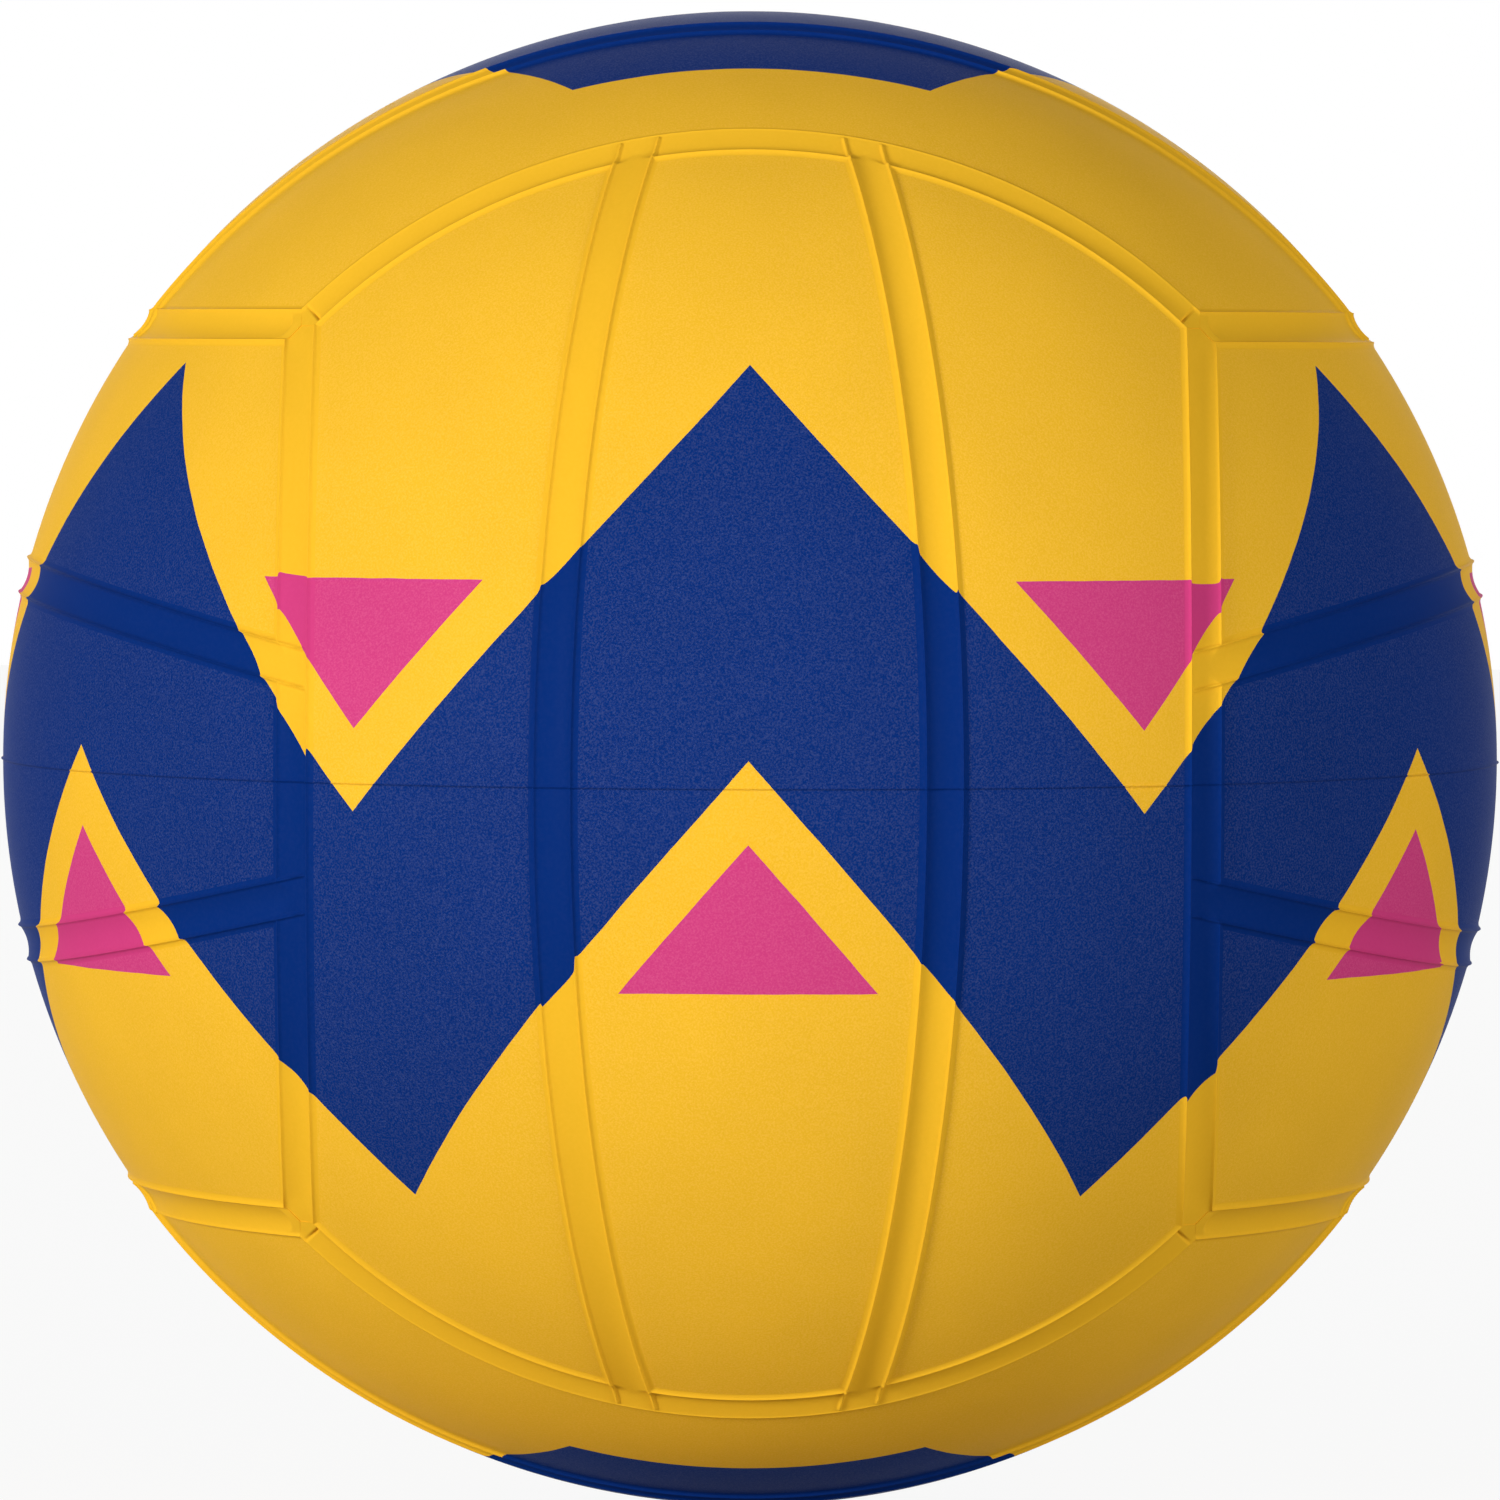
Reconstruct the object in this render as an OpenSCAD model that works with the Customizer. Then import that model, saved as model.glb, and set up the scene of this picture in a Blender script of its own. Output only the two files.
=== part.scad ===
// Water polo ball, size 5: a wound rubber carcass under eighteen cover panels,
// with raised-lip channels between them and a self-sealing valve at the top.
// The origin is the ball's centre. Six faces carry three strips each: the front
// face looks along -Y with its strips upright, and the other five are turned copies.

/* [Ball] */
// Diameter over the cover panels
ball_diameter = 220; // [190:1:226]
// Angle from the middle of a face to each of its two inner channels
inner_channel_angle = 14.2; // [11:0.1:18]

/* [Cover] */
// Thickness of the cover panels
cover_thickness = 1.1; // [0.8:0.1:2]
// Distance between the crests of a channel's two lips
lip_spacing = 5.2; // [3.6:0.1:8]
// Height of the lips over the panels
lip_height = 0.5; // [0.3:0.1:1.2]
// Width of a lip's rounded crest
lip_crest_width = 0.3; // [0.1:0.1:0.6]
// Width of a lip's outer slope, from its crest to the panel's edge
lip_slope_width = 0.8; // [0.4:0.1:1.4]
// Depth of the trough below the crests
trough_depth = 0.75; // [0.2:0.05:1.2]

/* [Carcass] */
// Thickness of the rubber layer that the cover is bonded to
backing_thickness = 0.45; // [0.3:0.05:1]
// Thickness of the wound nylon thread
winding_thickness = 0.5; // [0.3:0.05:1]
// Thickness of the butyl bladder
bladder_thickness = 0.6; // [0.4:0.05:1.2]

/* [Valve] */
// Diameter of the bore that an inflation needle is pushed into
needle_diameter = 2; // [1.6:0.1:2.4]
// Depth of the needle bore, its mouth included
needle_depth = 8; // [5:0.5:12]
// Diameter of the mouth that guides the needle in
mouth_diameter = 3.6; // [2.8:0.1:5]
// Depth of that mouth
mouth_depth = 0.8; // [0.4:0.1:1.5]
// Diameter of the plug's stem
stem_diameter = 6; // [5:0.1:7]
// Length of the plug from its head to its inner end
plug_length = 18; // [14:0.5:24]
// Diameter of the plug's head
head_diameter = 8; // [7.4:0.1:9]
// Height of the plug's head
head_height = 1.2; // [0.8:0.1:2]
// How far the head lies below the panels
head_recess = 0.5; // [0.2:0.1:1]
// Gap all round the plug in its housing
plug_clearance = 0.05; // [0.02:0.01:0.1]
// Diameter of the housing's neck through the wall
neck_diameter = 11; // [9.6:0.1:13]
// Diameter of the flange bonded inside the bladder
flange_diameter = 30; // [20:1:40]
// Thickness of that flange
flange_thickness = 1.2; // [0.8:0.1:2]

/* [Hidden] */
$fn = 288;
cover_yellow = "#f3bb2a";
channel_yellow = "#e6ad20";
backing_grey = "#4a4a4c";
nylon_white = "#e9e6dc";
butyl_black = "#26262a";
valve_yellow = "#e2a41c";

ball_r = ball_diameter / 2;
seat_r = ball_r - cover_thickness;
winding_r = seat_r - backing_thickness;
bladder_r = winding_r - winding_thickness;
air_r = bladder_r - bladder_thickness;
neck_r = neck_diameter / 2;
stem_r = stem_diameter / 2;
head_r = head_diameter / 2;

// Larger than the ball: the size of every half space and the reach of every cut
reach = ball_diameter;
overrun = cover_thickness;

// The channels between faces lie on circles through the corners of a cube in the ball
corner_share = 1 / sqrt(3);
boundary_polar = acos(corner_share);
great_circle_polar = 90;

crest_inner = (lip_spacing - lip_crest_width) / 2;
crest_outer = (lip_spacing + lip_crest_width) / 2;
channel_half = crest_outer + lip_slope_width;
root_depth = 3 * cover_thickness;

// An inner channel's mouth is a little shallower than the trough that it opens into
mouth_share = 0.85;

// How far from the ball's middle planes the panels' flat edges lie
side_edge = ball_r * cos(boundary_polar + across_angle(channel_half));
end_edge = ball_r * cos(boundary_polar - across_angle(channel_half));
inner_edge = ball_r * sin(across_angle(channel_half));

head_top = ball_r - head_recess;
head_seat = head_top - head_height;
plug_end = head_top - plug_length;

// A point of a channel's section: across its line and over the panels, seen from the ball's centre
function on_section(polar, across, height) =
    let (angle = polar + across_angle(across), r = ball_r + height)
    [r * sin(angle), r * cos(angle)];
function across_angle(across) = across / ball_r * 180 / PI;

// The radius of the arc that falls from one crest to a depth and rises to the other
function trough_radius(depth) = (pow(crest_inner, 2) + pow(depth, 2)) / (2 * depth);

// The planes that mitre a channel where three of them meet at a corner of the cube
function mitre_normal(corner, along, side) =
    let (out = corner / norm(corner), run = along / norm(along))
    sin(60) * run + side * cos(60) * cross(out, run);

// Everything further along the normal than the offset
module half_space(normal, offset = 0)
    rotate([0, acos(normal[2] / norm(normal)), atan2(normal[1], normal[0])])
        translate([-reach, -reach, offset])
            cube(2 * reach);

module shell(outer_r, inner_r)
    difference() {
        sphere(outer_r);
        sphere(inner_r);
    }

// Turns what is drawn round +Z so that it lies round a named direction
module round_left() rotate([0, -90, 0]) children();
module round_inner() rotate([0, 0, -inner_channel_angle]) round_left() children();

// The round trough between a channel's crests
module trough(polar, depth)
    rotate_extrude()
        translate(on_section(polar, 0, lip_height - depth + trough_radius(depth)))
            circle(trough_radius(depth));

// A whole ring of channel: its sides are flat, and its underside lies on the backing layer
module channel_ring(polar)
    difference() {
        rotate_extrude()
            polygon([
                on_section(polar, -channel_half, 0) - [root_depth, 0],
                on_section(polar, -channel_half, 0),
                on_section(polar, -crest_outer, lip_height),
                on_section(polar, crest_outer, lip_height),
                on_section(polar, channel_half, 0),
                on_section(polar, channel_half, 0) - [root_depth, 0],
            ]);
        trough(polar, trough_depth);
        sphere(seat_r);
    }

// The front face, up to the channels above and below it
module front_region() half_space([0, -1, 0], end_edge);

// The front face's left and middle strips lie to either side of an inner channel
module left_of_inner_channel()
    rotate([0, 0, -inner_channel_angle]) half_space([-1, 0, 0], inner_edge);
module right_of_inner_channel()
    rotate([0, 0, -inner_channel_angle]) half_space([1, 0, 0], inner_edge);

module side_panel()
    color(cover_yellow)
        intersection() {
            shell(ball_r, seat_r);
            front_region();
            left_of_inner_channel();
            half_space([1, 0, 0], -side_edge);
        }

module middle_panel()
    color(cover_yellow)
        intersection() {
            shell(ball_r, seat_r);
            front_region();
            right_of_inner_channel();
            mirror([1, 0, 0]) right_of_inner_channel();
        }

// Between the front face's left and middle strips, from the channel above to the one below
module inner_channel()
    color(channel_yellow)
        intersection() {
            round_inner() channel_ring(great_circle_polar);
            front_region();
        }

// Between the front and left faces. The left face's two inner channels open into its trough.
module face_channel() {
    corner = [-1, -1, 1];
    along = [0, -1, -1];
    color(channel_yellow)
        difference() {
            intersection() {
                round_left() channel_ring(boundary_polar);
                half_space(mitre_normal(corner, along, 1));
                half_space(mitre_normal(corner, along, -1));
                mirror([0, 0, 1]) half_space(mitre_normal(corner, along, 1));
                mirror([0, 0, 1]) half_space(mitre_normal(corner, along, -1));
            }
            intersection() {
                half_space([-1, 0, 0], ball_r * corner_share);
                left_face() round_inner() trough(great_circle_polar, mouth_share * trough_depth);
            }
            intersection() {
                half_space([-1, 0, 0], ball_r * corner_share);
                left_face() other_side() round_inner() trough(great_circle_polar, mouth_share * trough_depth);
            }
        }
}

// The six faces, each a turn of the front face, and the turn that swaps a face's two sides
module left_face() rotate(a = -120, v = [1, 1, 1]) children();
module right_face() rotate([0, 0, 180]) left_face() children();
module back_face() rotate([0, 0, 180]) children();
module bottom_face() rotate(a = 120, v = [1, 1, 1]) children();
module top_face() rotate([180, 0, 0]) bottom_face() children();
module other_side() rotate([0, 180, 0]) children();

module neck_hole() cylinder(h = reach, r = neck_r);

module top_middle_panel()
    difference() {
        top_face() middle_panel();
        neck_hole();
    }

module backing_layer()
    color(backing_grey)
        difference() {
            shell(seat_r, winding_r);
            neck_hole();
        }

module thread_winding()
    color(nylon_white)
        difference() {
            shell(winding_r, bladder_r);
            neck_hole();
        }

module bladder()
    color(butyl_black)
        difference() {
            shell(bladder_r, air_r);
            neck_hole();
        }

module valve_housing()
    color(valve_yellow)
        difference() {
            union() {
                intersection() {
                    translate([0, 0, plug_end]) cylinder(h = reach, r = neck_r);
                    sphere(ball_r);
                }
                intersection() {
                    shell(air_r, air_r - flange_thickness);
                    cylinder(h = reach, d = flange_diameter);
                }
            }
            translate([0, 0, plug_end - overrun]) cylinder(h = reach, r = stem_r + plug_clearance);
            translate([0, 0, head_seat]) cylinder(h = reach, r = head_r + plug_clearance);
        }

module valve_plug()
    color(valve_yellow)
        difference() {
            union() {
                translate([0, 0, plug_end]) cylinder(h = plug_length, r = stem_r);
                translate([0, 0, head_seat]) cylinder(h = head_height, r = head_r);
            }
            translate([0, 0, head_top - needle_depth]) cylinder(h = reach, d = needle_diameter);
            translate([0, 0, head_top - mouth_depth])
                cylinder(h = mouth_depth, d1 = needle_diameter, d2 = mouth_diameter);
        }

side_panel();  // panel_front_left
middle_panel();  // panel_front_middle
other_side() side_panel();  // panel_front_right
back_face() side_panel();  // panel_back_right
back_face() middle_panel();  // panel_back_middle
back_face() other_side() side_panel();  // panel_back_left
left_face() side_panel();  // panel_left_lower
left_face() middle_panel();  // panel_left_middle
left_face() other_side() side_panel();  // panel_left_upper
right_face() side_panel();  // panel_right_lower
right_face() middle_panel();  // panel_right_middle
right_face() other_side() side_panel();  // panel_right_upper
top_face() side_panel();  // panel_top_back
top_middle_panel();  // panel_top_middle
top_face() other_side() side_panel();  // panel_top_front
bottom_face() side_panel();  // panel_bottom_front
bottom_face() middle_panel();  // panel_bottom_middle
bottom_face() other_side() side_panel();  // panel_bottom_back

face_channel();  // channel_front_left
other_side() face_channel();  // channel_front_right
back_face() face_channel();  // channel_back_right
back_face() other_side() face_channel();  // channel_back_left
left_face() face_channel();  // channel_left_bottom
left_face() other_side() face_channel();  // channel_left_top
right_face() face_channel();  // channel_right_bottom
right_face() other_side() face_channel();  // channel_right_top
top_face() face_channel();  // channel_top_back
top_face() other_side() face_channel();  // channel_top_front
bottom_face() face_channel();  // channel_bottom_front
bottom_face() other_side() face_channel();  // channel_bottom_back

inner_channel();  // inner_channel_front_left
other_side() inner_channel();  // inner_channel_front_right
back_face() inner_channel();  // inner_channel_back_right
back_face() other_side() inner_channel();  // inner_channel_back_left
left_face() inner_channel();  // inner_channel_left_lower
left_face() other_side() inner_channel();  // inner_channel_left_upper
right_face() inner_channel();  // inner_channel_right_lower
right_face() other_side() inner_channel();  // inner_channel_right_upper
top_face() inner_channel();  // inner_channel_top_back
top_face() other_side() inner_channel();  // inner_channel_top_front
bottom_face() inner_channel();  // inner_channel_bottom_front
bottom_face() other_side() inner_channel();  // inner_channel_bottom_back

backing_layer();
thread_winding();
bladder();
valve_housing();
valve_plug();
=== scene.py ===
from math import acos, asin, atan2, cos, pi, radians, sin, sqrt

import bmesh
import bpy
from mathutils import Matrix, Vector


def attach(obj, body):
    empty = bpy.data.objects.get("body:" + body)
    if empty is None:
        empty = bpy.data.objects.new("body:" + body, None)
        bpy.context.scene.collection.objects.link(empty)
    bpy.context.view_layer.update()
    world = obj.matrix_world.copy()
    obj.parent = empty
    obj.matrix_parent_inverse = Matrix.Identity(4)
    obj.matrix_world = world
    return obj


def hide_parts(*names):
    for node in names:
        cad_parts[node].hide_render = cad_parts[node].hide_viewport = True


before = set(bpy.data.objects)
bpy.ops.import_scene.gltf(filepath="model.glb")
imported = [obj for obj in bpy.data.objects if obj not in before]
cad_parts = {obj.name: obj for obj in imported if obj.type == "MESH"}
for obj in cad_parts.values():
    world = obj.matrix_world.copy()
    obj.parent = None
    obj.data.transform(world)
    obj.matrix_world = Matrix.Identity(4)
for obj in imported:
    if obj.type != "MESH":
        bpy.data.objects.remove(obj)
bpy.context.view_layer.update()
scene = bpy.context.scene
mm = 0.001

# Camera: 1.59 m from the ball's centre, a little above it, with a long lens

view = {
    "distance": 14.46 * 110 * mm,  # in ball radii
    "elevation": radians(2.25),
    "turn": radians(-0.105),
    "roll": radians(0.175),
    "sensor": 36.0,
    "lens": 258.6,
    "shiftUp": 8 / 1500,  # the ball's centre stands a little below the middle of the frame
    "farthest": 20,
}


def aimCamera():
    data = bpy.data.cameras.new("camera")
    data.sensor_width = view["sensor"]
    data.lens = view["lens"]
    data.shift_y = view["shiftUp"]
    data.clip_end = view["farthest"]
    camera = bpy.data.objects.new("camera", data)
    scene.collection.objects.link(camera)
    lean = view["elevation"]
    right, above = Vector((1, 0, 0)), Vector((0, sin(lean), cos(lean)))
    back = Vector((0, -cos(lean), sin(lean)))
    pose = Matrix((right, above, back)).transposed()
    swung = Matrix.Rotation(view["roll"], 3, "Y") @ Matrix.Rotation(view["turn"], 3, "Z")
    turned = swung.transposed() @ pose
    camera.matrix_world = Matrix.Translation(turned @ Vector((0, 0, view["distance"]))) @ turned.to_4x4()
    scene.camera = camera
    print("camera aimed")


aimCamera()

# Material helpers


# Linear colour from a hex code
def srgb(code):
    parts = [int(code[i:i + 2], 16) / 255 for i in (1, 3, 5)]
    return tuple(c / 12.92 if c <= 0.04045 else ((c + 0.055) / 1.055) ** 2.4 for c in parts) + (1.0,)


# Gives each socket its link or its value
def fillSockets(tree, made, links):
    for socket, source in dict(links).items():
        if isinstance(source, bpy.types.NodeSocket):
            tree.links.new(source, made.inputs[socket])
        else:
            made.inputs[socket].default_value = source


# Adds a node: links go to its sockets by name or number, values to its settings
def node(tree, kind, links=(), out=0, **values):
    made = tree.nodes.new(kind)
    for key, value in values.items():
        setattr(made, key, value)
    fillSockets(tree, made, links)
    return made.outputs[out] if made.outputs else made


def maths(tree, operation, a, b=0.0, c=0.0):
    return node(tree, "ShaderNodeMath", {0: a, 1: b, 2: c}, operation=operation)


def blend(tree, share, under, over):
    made = tree.nodes.new("ShaderNodeMix")
    made.data_type = "RGBA"
    fillSockets(tree, made, {0: share, 6: under, 7: over})
    return made.outputs[2]


def startMaterial(name):
    material = bpy.data.materials.new(name)
    material.use_nodes = True
    tree = material.node_tree
    tree.nodes.clear()
    return material, tree


def finishMaterial(tree, colour, roughness, normal, **sockets):
    links = {"Base Color": colour, "Roughness": roughness, "Normal": normal}
    links.update({key.replace("_", " "): value for key, value in sockets.items()})
    shader = node(tree, "ShaderNodeBsdfPrincipled", links)
    node(tree, "ShaderNodeOutputMaterial", {"Surface": shader})


# The printed rubber: natural rubber moulded against a grained tool, then screen printed

ink = {
    "yellow": "#f0b82a",
    "blue": "#092c72",
    "pink": "#cc3f7c",
    "beltSwing": radians(17),  # how far the zigzag belt climbs and falls from the middle
    "beltHalf": radians(15),
    "turns": 6,
    "notchGap": radians(6),  # yellow between the belt and the small triangles
    "notchDepth": radians(11),
    "capApothem": radians(24),
    "wander": 0.1 * mm,  # how far a printed edge strays on a panel
    "lipWander": 0.7 * mm,  # and on a lip, where the transfer bends over
    "wanderScale": 1 / (6 * mm),
    "troughShift": 1.6 * mm,  # how far the transfer slips where it is pressed into a trough
    "shiftScale": 1 / (45 * mm),
    "cloud": 18 * mm,  # slow changes of tone
    # the grain's tops get pale specks, partly grain speckle and partly painted sheen
    "specksFrom": 0.42,  # grain above this lightens the print,
    "specksTo": 0.68,  # and from here on fully
    "sheenSpread": 0.1,  # how far the grain varies the roughness
}
rubbers = {
    "panel": {  # blasted tool: a fine grain; pale specks on its tops stand for thinner ink and for painted sheen
        "grain": 0.27 * mm,  # drawn as coarse as shows at this size
        "grainDepth": 0.03 * mm,
        "roughness": 0.38,
        "specular": 0.002,  # kept tiny; the panels' sheen is painted into their specks instead
        "mottle": 0.1,
        # pale specks: grain speckle and painted sheen, strong enough to stand in for the lamps' shine
        "specksAndPaintedSheen": 0.027,
    },
    "channel": {  # polished tool: smoother and deeper in colour
        "grain": 0.6 * mm,
        "grainDepth": 0.01 * mm,
        "roughness": 0.4,
        "specular": 0.003,
        "mottle": 0.04,
        # next to no painted sheen in the troughs
        "specksAndPaintedSheen": 0.002,
    },
}
rubberIor = 1.5


# Yellow ground, a blue zigzag belt, blue six-sided caps and pink triangles in the belt's notches
def printPattern(tree, position):
    stray = node(tree, "ShaderNodeTexNoise",
                 {"Vector": position, "Scale": ink["wanderScale"], "Detail": 1.0}, out=1)
    centred = node(tree, "ShaderNodeVectorMath", {0: stray, 1: (0.5, 0.5, 0.5)}, operation="SUBTRACT")
    onLip = node(tree, "ShaderNodeAttribute", out=2, attribute_name="lip")
    reach = maths(tree, "MULTIPLY_ADD", onLip, 2 * ink["lipWander"], 2 * ink["wander"])
    strayed = node(tree, "ShaderNodeVectorMath", {0: centred, 3: reach}, operation="SCALE")
    drift = node(tree, "ShaderNodeTexNoise",
                 {"Vector": position, "Scale": ink["shiftScale"], "Detail": 0.0}, out=1)
    level = node(tree, "ShaderNodeVectorMath", {0: drift, 1: (0.5, 0.5, 0.5)}, operation="SUBTRACT")
    inTrough = node(tree, "ShaderNodeAttribute", out=2, attribute_name="trough")
    slip = maths(tree, "MULTIPLY", inTrough, 4 * ink["troughShift"])
    slipped = node(tree, "ShaderNodeVectorMath", {0: level, 3: slip}, operation="SCALE")
    moved = node(tree, "ShaderNodeVectorMath", {0: strayed, 1: slipped}, operation="ADD")
    shifted = node(tree, "ShaderNodeVectorMath", {0: moved, 1: position}, operation="ADD")
    split = tree.nodes.new("ShaderNodeSeparateXYZ")
    tree.links.new(shifted, split.inputs[0])
    x, y, z = split.outputs
    away = node(tree, "ShaderNodeVectorMath", {0: shifted}, out=1, operation="LENGTH")
    longitude = maths(tree, "ARCTAN2", x, maths(tree, "MULTIPLY", y, -1.0))
    latitude = maths(tree, "ARCSINE", maths(tree, "DIVIDE", z, away))
    half = pi / ink["turns"]
    saw = maths(tree, "PINGPONG", longitude, half)
    middle = maths(tree, "MULTIPLY_ADD", saw, -2 * ink["beltSwing"] / half, ink["beltSwing"])
    over = maths(tree, "SUBTRACT", latitude, middle)
    belt = maths(tree, "LESS_THAN", maths(tree, "ABSOLUTE", over), ink["beltHalf"])
    fromPole = maths(tree, "SUBTRACT", pi / 2, maths(tree, "ABSOLUTE", latitude))
    toSide = maths(tree, "MULTIPLY", fromPole, maths(tree, "COSINE", saw))
    cap = maths(tree, "LESS_THAN", toSide, ink["capApothem"])
    blue = maths(tree, "MAXIMUM", belt, cap)
    # a triangle starts a gap above the belt's edge and ends at a level line, and the same below it
    clear = maths(tree, "GREATER_THAN", maths(tree, "ABSOLUTE", over), ink["beltHalf"] + ink["notchGap"])
    lowest = ink["beltHalf"] - ink["beltSwing"] + ink["notchGap"]
    within = maths(tree, "LESS_THAN", maths(tree, "ABSOLUTE", latitude), lowest + ink["notchDepth"])
    pink = maths(tree, "MULTIPLY", clear, within)
    painted = blend(tree, blue, srgb(ink["yellow"]), srgb(ink["blue"]))
    return blend(tree, pink, painted, srgb(ink["pink"]))


def printedRubber(name, rubber):
    material, tree = startMaterial(name)
    position = node(tree, "ShaderNodeTexCoord", out=3)
    colour = printPattern(tree, position)
    grain = node(tree, "ShaderNodeTexNoise",
                 {"Vector": position, "Scale": 1 / rubber["grain"], "Detail": 2.0, "Roughness": 0.6})
    cloud = node(tree, "ShaderNodeTexNoise", {"Vector": position, "Scale": 1 / ink["cloud"], "Detail": 2.0})
    uneven = maths(tree, "ADD", grain, cloud)
    tone = maths(tree, "MULTIPLY_ADD", uneven, rubber["mottle"], 1.0 - rubber["mottle"])
    toned = node(tree, "ShaderNodeVectorMath", {0: colour, 3: tone}, operation="SCALE")
    # pale specks added to the colour: grain speckle and painted sheen
    specksAndSheen = node(tree, "ShaderNodeMapRange",
                  {0: grain, 1: ink["specksFrom"], 2: ink["specksTo"], 3: 0.0, 4: rubber["specksAndPaintedSheen"]})
    withSpecksAndSheen = node(tree, "ShaderNodeVectorMath", {0: toned, 1: specksAndSheen}, operation="ADD")
    smoothest = rubber["roughness"] - ink["sheenSpread"] / 2
    sheen = maths(tree, "MULTIPLY_ADD", grain, ink["sheenSpread"], smoothest)
    bump = node(tree, "ShaderNodeBump", {"Height": grain, "Distance": rubber["grainDepth"], "Strength": 1.0})
    finishMaterial(tree, withSpecksAndSheen, sheen, bump, IOR=rubberIor, Specular_IOR_Level=rubber["specular"])
    return material


valveLook = {
    "deep": "#d39a16",
    "pale": "#eab020",
    "cloud": 3 * mm,
    "grain": 0.25 * mm,
    "grainDepth": 0.006 * mm,
    "roughness": 0.5,
    "specular": 0.3,
}


# The valve's rubber: the same yellow compound, moulded smooth and not printed
def smoothRubber(name):
    material, tree = startMaterial(name)
    position = node(tree, "ShaderNodeTexCoord", out=3)
    cloud = node(tree, "ShaderNodeTexNoise",
                 {"Vector": position, "Scale": 1 / valveLook["cloud"], "Detail": 3.0})
    colour = blend(tree, cloud, srgb(valveLook["deep"]), srgb(valveLook["pale"]))
    grain = node(tree, "ShaderNodeTexNoise", {"Vector": position, "Scale": 1 / valveLook["grain"]})
    bump = node(tree, "ShaderNodeBump", {"Height": grain, "Distance": valveLook["grainDepth"]})
    finishMaterial(tree, colour, valveLook["roughness"], bump, IOR=rubberIor,
                   Specular_IOR_Level=valveLook["specular"])
    return material


coverRubber = printedRubber("printedCoverRubber", rubbers["panel"])
valveRubber = smoothRubber("mouldedValveRubber")
channelRubber = printedRubber("printedChannelRubber", rubbers["channel"])
print("rubber mixed")

# The ball's layout: six faces of three strips, each a turn of the front face

ball = {
    "radius": 110 * mm,  # over the panels
    "seat": 108.9 * mm,  # under the cover
    "facePolar": acos(1 / sqrt(3)),  # the channels between faces, from the middle of the left face
    "innerTurn": radians(14.2),  # the inner channels, from the middle of a face
    "channelHalf": 3.55 * mm,
    "fineness": 7,  # subdivisions of the ball that the panels are cut from: 2 mm between points
    "merge": 1e-7,
    "sharpFrom": radians(65),
}
lips = {
    "crest": 2.6 * mm,  # from the channel's middle to a lip's crest
    "height": 0.5 * mm,  # over the panels, what the print takes as a whole lip
    "ridge": 0.2 * mm,  # the fine bead along an inner channel's crest
    "ridgeHalf": 0.3 * mm,
    "shoulder": 0.34 * mm,  # a crest without its bead
    "runOn": 0.42 * mm,  # an inner lip's bead where it runs on over the floor that it ends in
    "runOnHalf": 0.32 * mm,
    "runOnFades": (1.8 * mm, 2.3 * mm),  # past the end channel's middle
    "settle": 0.3 * mm,  # either side of the near crest, where that bead takes on its other height
    "gap": 0.2 * mm,  # how much narrower the break in the near lip is than the inner channel
    "inside": 0.2 * mm,  # how far inside a crest the trough's print begins to change
    "outside": 0.1 * mm,  # and how far outside it has changed
    "floor": -0.25 * mm,
    "flank": 0.93 * mm,  # from a crest out to the panel
    "point": 1.6,  # over 1, the flanks are hollow
}
# Level: how high a floor ends at a corner, which it rises to between high and low from there.
# Rounding: how much farther out that is at the crests. Lowest: the floor's lowest line. Bend: its far half's.
# Crease: how deep the groove at high is.
channelKinds = {
    "plain": {"level": 0.0, "low": 1.0 * mm, "high": 6.0 * mm, "rounding": 0.0,
              "lowest": 0.0, "bend": 2.0, "crease": 0.0, "ridge": 0.14 * mm},
    "pocket": {"level": 0.14 * mm, "low": 2.1 * mm, "high": 2.6 * mm, "rounding": 2.4 * mm,
               "lowest": 0.0, "bend": 2.0, "crease": 0.0, "ridge": 0.12 * mm},
    "step": {"level": 0.1 * mm, "low": 2.25 * mm, "high": 2.5 * mm, "rounding": 0.0,
             "lowest": -1.0 * mm, "bend": 1.4, "crease": 0.24 * mm, "ridge": 0.05 * mm},
}
corners = {  # how sharply the forms at a corner end at the crests, and the half width of its groove
    "roundingPower": 2.5,
    "levelPower": 6,
    "groovePower": 10,
    "grooveHalf": 0.3 * mm,
}
spans = {  # how the channels are divided along their length: finely at corners and where inner channels end
    "past": radians(48),
    "corner": 5.2 * mm,
    "fine": 9.5 * mm,
    "cornerSteps": 60,
    "outerSteps": 44,
    "fineSteps": 76,
    "betweenSteps": 14,
    "inner": radians(116),
    "innerSteps": 130,
}
valve = {  # the CAD's sizes, radii and heights
    "neck": 5.5 * mm,
    "bottom": 91.5 * mm,
    "stem": 3.0 * mm,
    "stemSeat": 3.05 * mm,
    "head": 4.0 * mm,
    "headSeat": 4.05 * mm,
    "headUnder": 108.3 * mm,
    "headTop": 109.5 * mm,
    "flange": 15 * mm,
    "flangeTop": 107.35 * mm,
    "flangeUnder": 106.15 * mm,
    "needle": 1.0 * mm,
    "needleEnd": 101.5 * mm,
    "mouth": 1.8 * mm,
    "mouthDepth": 0.8 * mm,
    "round": 0.25 * mm,
    "rings": (2.7 * mm, 2.6 * mm, 2.4 * mm, 2.3 * mm),  # the groove round the plug's mouth
    "ringDepth": 0.15 * mm,
    "flangeSteps": 6,
    "turnSteps": 96,
    "merge": 1e-6,
    "holeBand": 2 * mm,  # the panel is divided more finely this far round the hole
    "holeCuts": 3,
}
parting = {  # the fine line where the mould's halves met
    "half": 0.15 * mm,
    "height": 0.28 * mm,
    "level": 0.3 * mm,  # beyond this the panel's own curve is left as it is
    "depth": 0.3 * mm,  # points less deep than this are raised
    "within": 1e-5,
    "cutWithin": 1e-6,
}
turnLeft = Matrix.Rotation(radians(-120), 4, Vector((1, 1, 1)))
turnBack = Matrix.Rotation(pi, 4, "Z")
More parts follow.
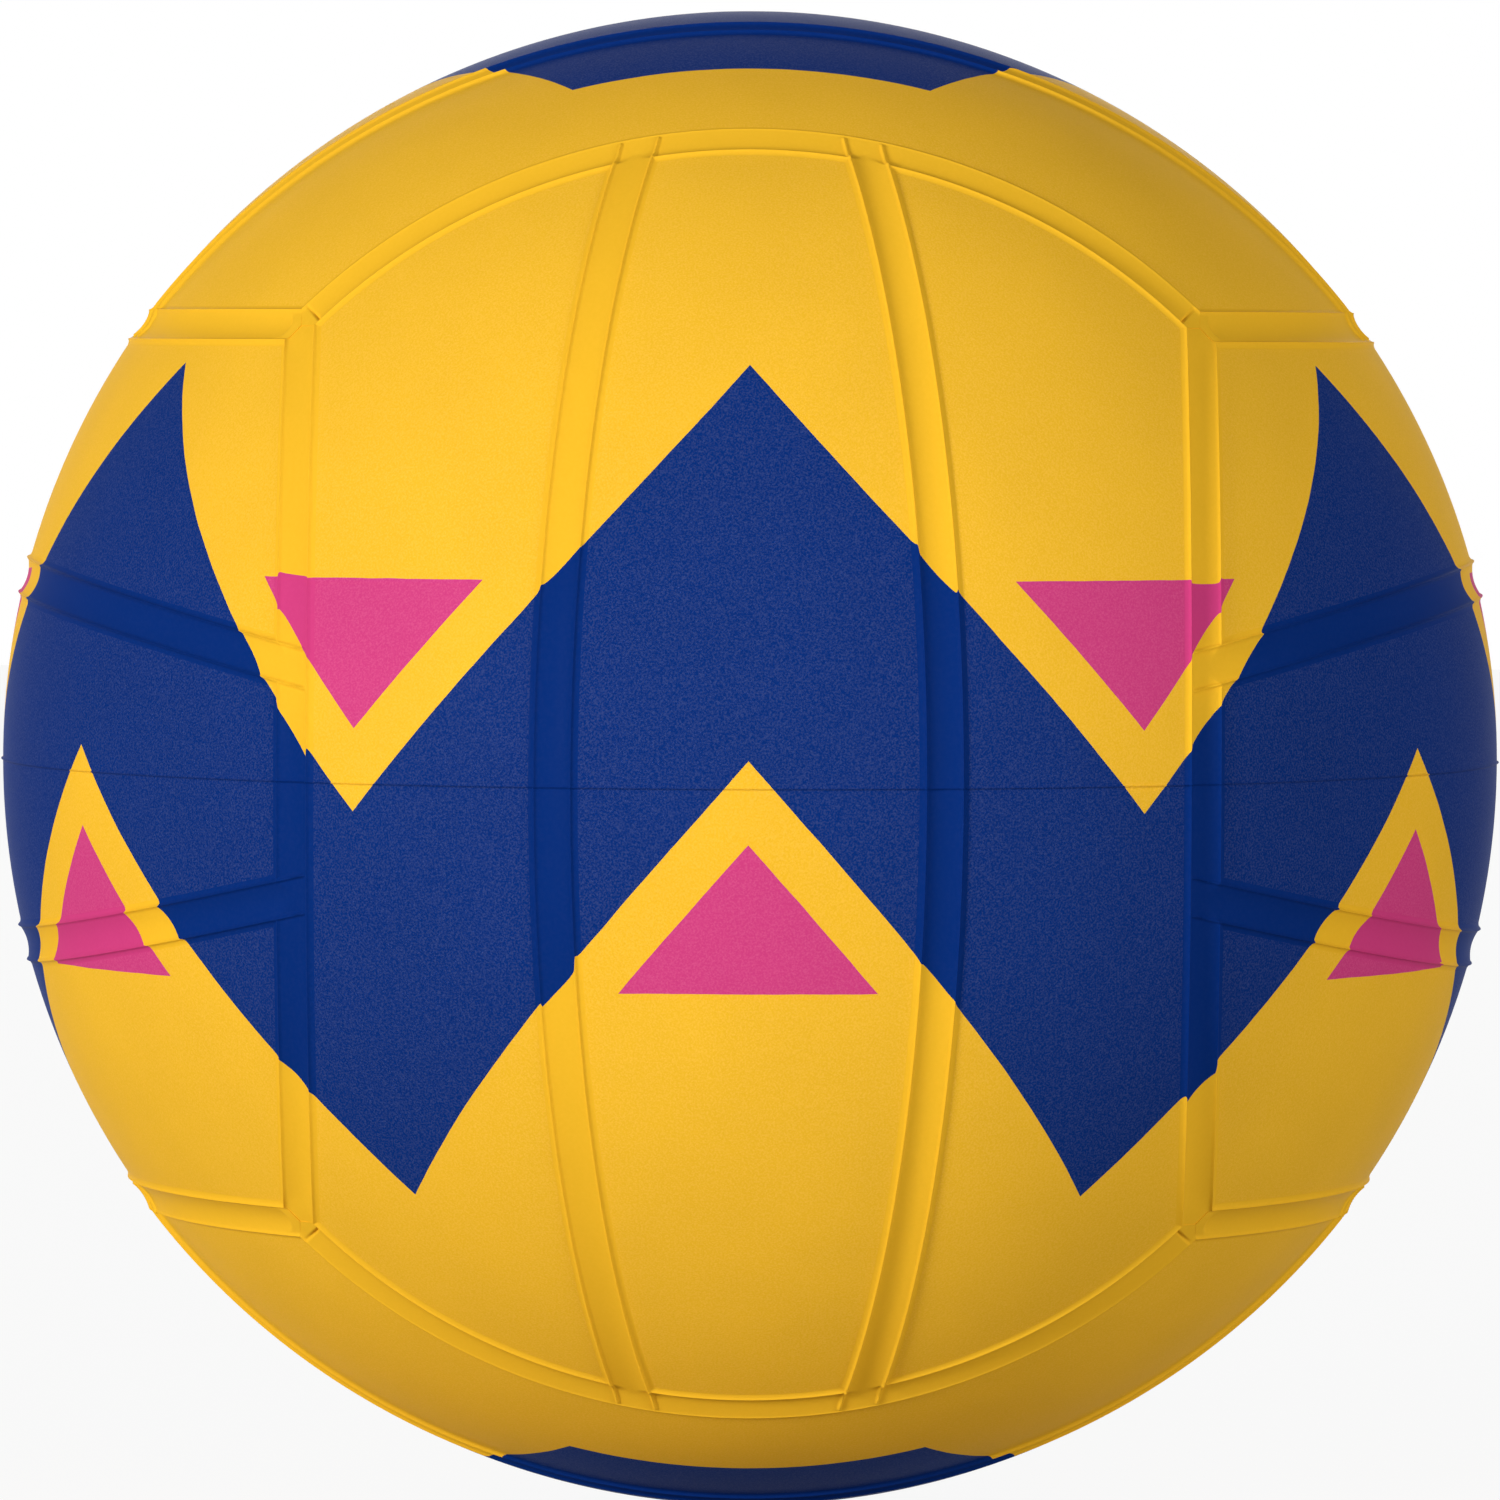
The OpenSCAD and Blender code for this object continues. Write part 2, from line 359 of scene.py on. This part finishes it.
turnDown = Matrix.Rotation(radians(120), 4, Vector((1, 1, 1)))
turnUp = Matrix.Rotation(pi, 4, "X") @ turnDown
swapSides = Matrix.Rotation(pi, 4, "Y")
# Turn, the strips that the front face's left and right strips become, the channels likewise, and their kind
faces = {
    "front": (Matrix.Identity(4), "left", "right", "front_left", "front_right", "plain"),
    "back": (turnBack, "right", "left", "back_right", "back_left", "plain"),
    "left": (turnLeft, "lower", "upper", "left_bottom", "left_top", "pocket"),
    "right": (turnBack @ turnLeft, "lower", "upper", "right_bottom", "right_top", "pocket"),
    "top": (turnUp, "back", "front", "top_back", "top_front", "step"),
    "bottom": (turnDown, "front", "back", "bottom_front", "bottom_back", "step"),
}


# 0 at low, 1 at high, with soft ends
def ease(low, high, value):
    share = min(max((value - low) / (high - low), 0.0), 1.0)
    return share * share * (3 - 2 * share)


# A channel's height over the panels: hollow between the crests, and falling away outside them
def hollow(across, lowest=0.0, bend=2.0):
    shoulder = lips["shoulder"]
    if abs(across) < lips["crest"]:
        far = across > lowest
        share = abs(across - lowest) / (lips["crest"] + (-lowest if far else lowest))
        return shoulder - (shoulder - lips["floor"]) * (1 - share ** (bend if far else 2.0))
    return shoulder * max(1 - (abs(across) - lips["crest"]) / lips["flank"], 0.0) ** lips["point"]


def bead(across, height=lips["ridge"], half=lips["ridgeHalf"]):
    share = min(abs(abs(across) - lips["crest"]) / half, 1.0)
    return height * (1 - share ** 2) ** 2


# 1 between a channel's two lips, 0 outside them
def betweenLips(across):
    return 1 - ease(lips["crest"] - lips["inside"], lips["crest"] + lips["outside"], abs(across))


# Over the front face's left inner channel
def innerRelief(point):
    across = ball["radius"] * asin(max(-1, min(1, point.dot(innerAxis))))
    return hollow(across) + bead(across), betweenLips(across)


# Over the channel between front and left, where two inner channels of the left face come in from the left
def faceRelief(point, kind):
    across = ball["radius"] * (acos(max(-1, min(1, -point.x))) - ball["facePolar"])
    along = min((ball["radius"] * asin(point.dot(normal)) for normal in crossingNormals), key=abs)
    height, entering = hollow(across, kind["lowest"], kind["bend"]), hollow(along)
    between = abs(along) < lips["crest"]
    if across < -lips["crest"]:
        height = entering if between else max(height, entering)
    elif across < 0 and between:
        height = min(height, entering)
    broken = across < 0 and abs(along) < lips["crest"] - lips["gap"]
    onFloor = ease(-lips["crest"] - lips["settle"], -lips["crest"] + lips["settle"], across)
    inner = bead(along) * (1 - onFloor) + bead(along, lips["runOn"], lips["runOnHalf"]) * onFloor
    inner *= 1 - ease(*lips["runOnFades"], across)
    height += max(0.0 if broken else bead(across, kind["ridge"]), inner)
    ring = ball["radius"] * sin(ball["facePolar"])
    toCorner = ring * (pi / 4 - atan2(abs(point.z), -point.y))
    share = min(abs(across) / lips["crest"], 1.0)
    rounding = kind["rounding"] * share ** corners["roundingPower"]
    closed = 1 - ease(kind["low"] + rounding, kind["high"] + rounding, toCorner)
    closed *= 1 - share ** corners["levelPower"]
    height += (kind["level"] - height) * closed
    groove = max(1 - (abs(toCorner - kind["high"]) / corners["grooveHalf"]) ** 2, 0.0)
    groove *= 1 - share ** corners["groovePower"]
    height -= kind["crease"] * groove
    return height, betweenLips(across)


innerAxis = Vector((-cos(ball["innerTurn"]), sin(ball["innerTurn"]), 0))
crossingNormals = [Vector((sin(ball["innerTurn"]), 0, side * cos(ball["innerTurn"]))) for side in (1, -1)]


# Removes what lies on the normal's side of a plane
def cutAway(bm, point, normal):
    bmesh.ops.bisect_plane(bm, geom=bm.verts[:] + bm.edges[:] + bm.faces[:], plane_co=point, plane_no=normal,
                           dist=ball["merge"], clear_outer=True)


def raiseRelief(bm, relief):
    lip, trough = bm.verts.layers.float.new("lip"), bm.verts.layers.float.new("trough")
    for vert in bm.verts:
        point = vert.co.normalized()
        height, vert[trough] = relief(point)
        vert[lip] = min(max(height / lips["height"], 0.0), 1.0)
        vert.co = point * (ball["radius"] + height)


# Gives the sheet its thickness, down to the layer that it is bonded to
def closeUnder(bm):
    grown = bmesh.ops.extrude_face_region(bm, geom=bm.faces[:])
    for vert in grown["geom"]:
        if isinstance(vert, bmesh.types.BMVert):
            vert.co = vert.co.normalized() * ball["seat"]
    bmesh.ops.recalc_face_normals(bm, faces=bm.faces[:])


# Where a channel's section has its points: close together on the lips
def acrossSteps():
    inside = [0, 0.4, 0.8, 1.2, 1.55, 1.85, 2.1]
    onLip = [2.3, 2.44, 2.54, 2.6, 2.66, 2.75, 2.88, 3.0, 3.12, 3.25, 3.38, 3.52, 3.55]
    half = [step * mm for step in inside + onLip]
    return [-step for step in reversed(half[1:])] + half


# A band of the sphere round an axis, spun from one section
def channelBand(axis, front, polar, stretches):
    bm = bmesh.new()
    start = Matrix.Rotation(-sum(angle for angle, steps in stretches) / 2, 3, axis)
    verts = []
    for step in acrossSteps():
        angle = polar + step / ball["radius"]
        verts.append(bm.verts.new(start @ (axis * cos(angle) + front * sin(angle)) * ball["radius"]))
    last = verts + [bm.edges.new(pair) for pair in zip(verts, verts[1:])]
    for angle, steps in stretches:
        last = bmesh.ops.spin(bm, geom=last, cent=(0, 0, 0), axis=axis, angle=angle, steps=steps)["geom_last"]
    bmesh.ops.remove_doubles(bm, verts=bm.verts[:], dist=ball["merge"])
    return bm


def mitreNormal(corner, along, side):
    out, run = corner.normalized(), along.normalized()
    return run * sin(pi / 3) + out.cross(run) * side * cos(pi / 3)


def makeFaceChannel(kind):
    ring = ball["radius"] * sin(ball["facePolar"])
    slope = sin(ball["innerTurn"]) / cos(ball["innerTurn"])
    crossing = asin(slope * ball["radius"] * cos(ball["facePolar"]) / ring)
    fine, past = spans["fine"] / ring, spans["past"]
    end = past - radians(45) + spans["corner"] / ring
    outer = past - crossing - fine / 2 - end
    half = [(end, spans["cornerSteps"]), (outer, spans["outerSteps"]), (fine, spans["fineSteps"])]
    stretches = half + [(2 * crossing - fine, spans["betweenSteps"])] + half[::-1]
    bm = channelBand(Vector((-1, 0, 0)), Vector((0, -1, 0)), ball["facePolar"], stretches)
    ends = ((Vector((-1, -1, 1)), Vector((0, -1, -1))), (Vector((-1, -1, -1)), Vector((0, -1, 1))))
    for corner, along in ends:
        for side in (1, -1):
            cutAway(bm, (0, 0, 0), -mitreNormal(corner, along, side))
    raiseRelief(bm, lambda point: faceRelief(point, kind))
    closeUnder(bm)
    return bm


def makeInnerChannel():
    front = Vector((-sin(ball["innerTurn"]), -cos(ball["innerTurn"]), 0))
    bm = channelBand(innerAxis, front, pi / 2, [(spans["inner"], spans["innerSteps"])])
    cutAway(bm, (0, -endEdge, 0), (0, 1, 0))
    raiseRelief(bm, innerRelief)
    closeUnder(bm)
    return bm


endEdge = ball["radius"] * cos(ball["facePolar"] - ball["channelHalf"] / ball["radius"])
sideEdge = ball["radius"] * cos(ball["facePolar"] + ball["channelHalf"] / ball["radius"])
innerEdge = ball["radius"] * sin(ball["channelHalf"] / ball["radius"])


def fromFrontPole(co):
    return sqrt(co.x ** 2 + co.z ** 2)


# Opens the round hole that the valve's neck fills, in the panel that is turned to the top
def openHole(bm, radius):
    reach = radius + valve["holeBand"]
    near = [edge for edge in bm.edges if min(fromFrontPole(vert.co) for vert in edge.verts) < reach]
    bmesh.ops.subdivide_edges(bm, edges=near, cuts=valve["holeCuts"], use_grid_fill=True)
    inside = [face for face in bm.faces if fromFrontPole(face.calc_center_median()) < radius]
    bmesh.ops.delete(bm, geom=inside, context="FACES")
    for vert in bm.verts:
        away = fromFrontPole(vert.co)
        if vert.is_boundary and away < reach:
            vert.co.x *= radius / away
            vert.co.z *= radius / away


def makePanel(cuts, hole=None):
    bm = bmesh.new()
    bmesh.ops.create_icosphere(bm, subdivisions=ball["fineness"], radius=ball["radius"])
    for point, normal in cuts:
        cutAway(bm, point, normal)
    if hole:
        openHole(bm, hole)
    raiseRelief(bm, lambda point: (0.0, 0.0))
    closeUnder(bm)
    return bm


mirroredAxis = Vector((-innerAxis.x, innerAxis.y, 0))
sidePanel = makePanel([((0, -endEdge, 0), (0, 1, 0)), (innerAxis * innerEdge, -innerAxis),
                       ((-sideEdge, 0, 0), (-1, 0, 0))])
middleCuts = [((0, -endEdge, 0), (0, 1, 0)), (-innerAxis * innerEdge, innerAxis),
              (-mirroredAxis * innerEdge, mirroredAxis)]
middlePanel = makePanel(middleCuts)
valvePanel = makePanel(middleCuts, valve["neck"])
faceChannels = {name: makeFaceChannel(kind) for name, kind in channelKinds.items()}
innerChannel = makeInnerChannel()
print("panels and channels moulded")


# A fine raised line round the ball at half height
def addPartingLine(bm):
    heights = [vert.co.z for vert in bm.verts]
    if min(heights) > 0 or max(heights) < 0:
        return
    for level in (-parting["level"], -parting["half"], 0, parting["half"], parting["level"]):
        bmesh.ops.bisect_plane(bm, geom=bm.verts[:] + bm.edges[:] + bm.faces[:], plane_co=(0, 0, level),
                               plane_no=(0, 0, 1), dist=parting["cutWithin"])
    for vert in bm.verts:
        if abs(vert.co.z) < parting["within"] and vert.co.length > ball["radius"] - parting["depth"]:
            vert.co *= 1 + parting["height"] / ball["radius"]


# Turns a copy into its place and puts it there for its CAD node
def finishPiece(bm, name, nodeName, body, material, turn=Matrix.Identity(4)):
    made = bm.copy()
    bmesh.ops.transform(made, matrix=turn, verts=made.verts[:])
    if material is not valveRubber:
        addPartingLine(made)
    mesh = bpy.data.meshes.new(name)
    made.to_mesh(mesh)
    made.free()
    mesh.shade_smooth()
    mesh.set_sharp_from_angle(angle=ball["sharpFrom"])
    mesh.materials.append(material)
    piece = bpy.data.objects.new(name, mesh)
    scene.collection.objects.link(piece)
    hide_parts(nodeName)
    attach(piece, body)


for face, (turn, own, other, ownChannel, otherChannel, kindName) in faces.items():
    for strip, channel, turned in ((own, ownChannel, turn), (other, otherChannel, turn @ swapSides)):
        finishPiece(sidePanel, f"{face}_{strip}_strip", f"panel_{face}_{strip}", "ball", coverRubber,
                    turned)
        finishPiece(innerChannel, f"{face}_{strip}_inner_lips", f"inner_channel_{face}_{strip}", "ball",
                    channelRubber, turned)
        finishPiece(faceChannels[kindName], f"{channel}_lips", f"channel_{channel}", "ball", channelRubber,
                    turned)
    finishPiece(valvePanel if face == "top" else middlePanel, f"{face}_middle_strip", f"panel_{face}_middle",
                "ball", coverRubber, turn)
print("ball covered")

# The valve: a housing bonded into the wall, and the plug that the needle goes through


def onSphere(radius, reach):
    return reach, sqrt(radius ** 2 - reach ** 2)


def turnProfile(profile, closed):
    bm = bmesh.new()
    verts = [bm.verts.new((reach, 0, height)) for reach, height in profile]
    pairs = list(zip(verts, verts[1:])) + ([(verts[-1], verts[0])] if closed else [])
    edges = [bm.edges.new(pair) for pair in pairs]
    bmesh.ops.spin(bm, geom=verts + edges, cent=(0, 0, 0), axis=(0, 0, 1), angle=2 * pi,
                   steps=valve["turnSteps"], use_merge=True)
    bmesh.ops.remove_doubles(bm, verts=bm.verts[:], dist=valve["merge"])
    bmesh.ops.recalc_face_normals(bm, faces=bm.faces[:])
    return bm


# Edges are rounded in a few steps, each a share of the rounding
def makeHousing():
    soft, neck, seat = valve["round"], valve["neck"], valve["headSeat"]
    rim = sqrt(ball["radius"] ** 2 - neck ** 2)
    steps = valve["flangeSteps"]
    flangeSteps = [neck + (valve["flange"] - neck) * step / steps for step in range(steps + 1)]
    profile = [(valve["stemSeat"], valve["bottom"]), (valve["stemSeat"], valve["headUnder"]),
               (seat, valve["headUnder"]), (seat, rim - soft), (seat + 0.3 * soft, rim - 0.3 * soft),
               (seat + soft, rim), (neck - 0.8 * soft, rim), (neck - 0.2 * soft, rim - 0.25 * soft),
               (neck, rim - 0.8 * soft)]
    profile += [onSphere(valve["flangeTop"], reach) for reach in flangeSteps]
    profile += [onSphere(valve["flangeUnder"], reach) for reach in reversed(flangeSteps)]
    profile.append((neck, valve["bottom"]))
    return turnProfile(profile, closed=True)


def makePlug():
    soft, head, top = valve["round"], valve["head"], valve["headTop"]
    outside, outerFoot, innerFoot, inside = valve["rings"]
    foot = top - valve["ringDepth"]
    bottom, stem, under = valve["bottom"], valve["stem"], valve["headUnder"]
    profile = [(0, bottom), (stem - soft, bottom), (stem, bottom + soft), (stem, under), (head, under),
               (head, top - soft),
               (head - 0.3 * soft, top - 0.3 * soft), (head - soft, top), (outside, top), (outerFoot, foot),
               (innerFoot, foot), (inside, top), (valve["mouth"] + 0.5 * soft, top),
               (valve["mouth"], top - 0.2 * soft), (valve["needle"], top - valve["mouthDepth"]),
               (valve["needle"], valve["needleEnd"]), (0, valve["needleEnd"])]
    return turnProfile(profile, closed=False)


finishPiece(makeHousing(), "moulded_housing", "valve_housing", "ball", valveRubber)
finishPiece(makePlug(), "moulded_plug", "valve_plug", "plug", valveRubber)
print("valve fitted")

# The layers under the cover, which only a cut ball would show

spotShade = 0.75  # the tone of their spots, beside 1 for the rest


def layerMaterial(name, colour, spot, roughness, depth, kind="ShaderNodeTexNoise", **values):
    material, tree = startMaterial(name)
    position = node(tree, "ShaderNodeTexCoord", out=3)
    texture = node(tree, kind, {"Vector": position, "Scale": 1 / spot}, **values)
    shade = blend(tree, texture, tuple(spotShade * part for part in srgb(colour)[:3]) + (1.0,), srgb(colour))
    bump = node(tree, "ShaderNodeBump", {"Height": texture, "Distance": depth})
    finishMaterial(tree, shade, roughness, bump)
    return material


layers = {
    "backing_layer": layerMaterial("calenderedBackingRubber", "#4a4a4c", 1.5 * mm, 0.7, 0.02 * mm),
    "thread_winding": layerMaterial("woundNylonThread", "#e9e6dc", 2 * mm, 0.55, 0.15 * mm,
                                    "ShaderNodeTexVoronoi", distance="MANHATTAN"),
    "bladder": layerMaterial("dippedButylRubber", "#26262a", 4 * mm, 0.42, 0.02 * mm),
}
for name, material in layers.items():
    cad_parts[name].material_slots[0].material = material

# Scene: pale floor, white surroundings, lamps near the camera's height left and right, and a weak one behind

studio = {
    "floorLevel": -110.1 * mm,
    "floorSide": 8.0,
    "floor": "#b8b8b6",
    "floorGlow": 0.93,  # how much of the floor the camera sees as white
    "ambient": 0.17,
}
lamps = {  # turn from the camera's side, height angle, distance, width, watts
    "key": (-45, 8, 2.2, 0.6, 41),
    "fill": (46, 2, 2.2, 1.5, 38),
    "rear": (180, 25, 2.2, 1.5, 8),
}


# 1 for rays that see the surroundings, 0 for rays that are lit by them
def litBackground(tree):
    path = tree.nodes.new("ShaderNodeLightPath")
    mirrored = maths(tree, "MAXIMUM", path.outputs["Is Glossy Ray"], path.outputs["Is Transmission Ray"])
    return maths(tree, "MAXIMUM", path.outputs["Is Camera Ray"], mirrored)


def layFloor():
    bm = bmesh.new()
    bmesh.ops.create_grid(bm, x_segments=2, y_segments=2, size=studio["floorSide"] / 2)
    bmesh.ops.translate(bm, verts=bm.verts[:], vec=(0, 0, studio["floorLevel"]))
    mesh = bpy.data.meshes.new("floor")
    bm.to_mesh(mesh)
    bm.free()
    material, tree = startMaterial("studioFloor")
    matt = node(tree, "ShaderNodeBsdfDiffuse", {"Color": srgb(studio["floor"])})
    glow = node(tree, "ShaderNodeEmission", {"Color": (1, 1, 1, 1), "Strength": 1.0})
    share = maths(tree, "MULTIPLY", litBackground(tree), studio["floorGlow"])
    mixed = node(tree, "ShaderNodeMixShader", {0: share, 1: matt, 2: glow})
    node(tree, "ShaderNodeOutputMaterial", {"Surface": mixed})
    mesh.materials.append(material)
    floor = bpy.data.objects.new("floor", mesh)
    scene.collection.objects.link(floor)


def lightWorld():
    world = bpy.data.worlds.new("studio")
    world.use_nodes = True
    tree = world.node_tree
    tree.nodes.clear()
    ambient = node(tree, "ShaderNodeBackground", {"Color": (1, 1, 1, 1), "Strength": studio["ambient"]})
    white = node(tree, "ShaderNodeBackground", {"Color": (1, 1, 1, 1), "Strength": 1.0})
    mixed = node(tree, "ShaderNodeMixShader", {0: litBackground(tree), 1: ambient, 2: white})
    node(tree, "ShaderNodeOutputWorld", {"Surface": mixed})
    scene.world = world


def hangLamp(name, turn, height, distance, width, watts):
    data = bpy.data.lights.new(name, "AREA")
    data.shape = "DISK"
    data.size = width
    data.energy = watts
    lamp = bpy.data.objects.new(name, data)
    level = cos(radians(height))
    place = Vector((sin(radians(turn)) * level, -cos(radians(turn)) * level, sin(radians(height)))) * distance
    lamp.location = place
    lamp.rotation_euler = place.to_track_quat("Z", "Y").to_euler()
    scene.collection.objects.link(lamp)


layFloor()
lightWorld()
for lampName, settings in lamps.items():
    hangLamp(lampName, *settings)
scene.view_settings.view_transform = "Standard"
